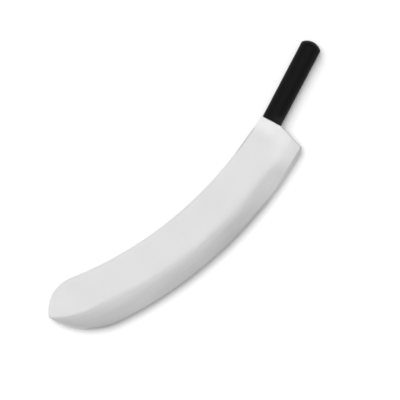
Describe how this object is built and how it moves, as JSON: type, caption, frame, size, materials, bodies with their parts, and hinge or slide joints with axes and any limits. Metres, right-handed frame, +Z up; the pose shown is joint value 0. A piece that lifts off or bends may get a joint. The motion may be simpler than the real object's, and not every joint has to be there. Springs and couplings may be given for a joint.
{
  "type": "mincing knife",
  "caption": "Long curved mincing knife: a sheet-steel blade with a rocking edge and a clipped tip, and a black plastic grip moulded over its tang.",
  "frame": {"origin": "middle of the bounding box, on the surface that the knife lies on", "axes": "+X along the handle towards the blade's tip, +Y towards the cutting edge, +Z up, square to the blade"},
  "size_m": [0.557, 0.2324, 0.022],
  "materials": {
    "brushed_steel": "satin-ground stainless steel, brushed along the blade, with a broad ground bevel",
    "black_plastic": "near-black satin polypropylene with a fine moulded grain"
  },
  "bodies": {
    "root": {"blade": "brushed_steel", "handle": "black_plastic"}
  },
  "joints": []
}
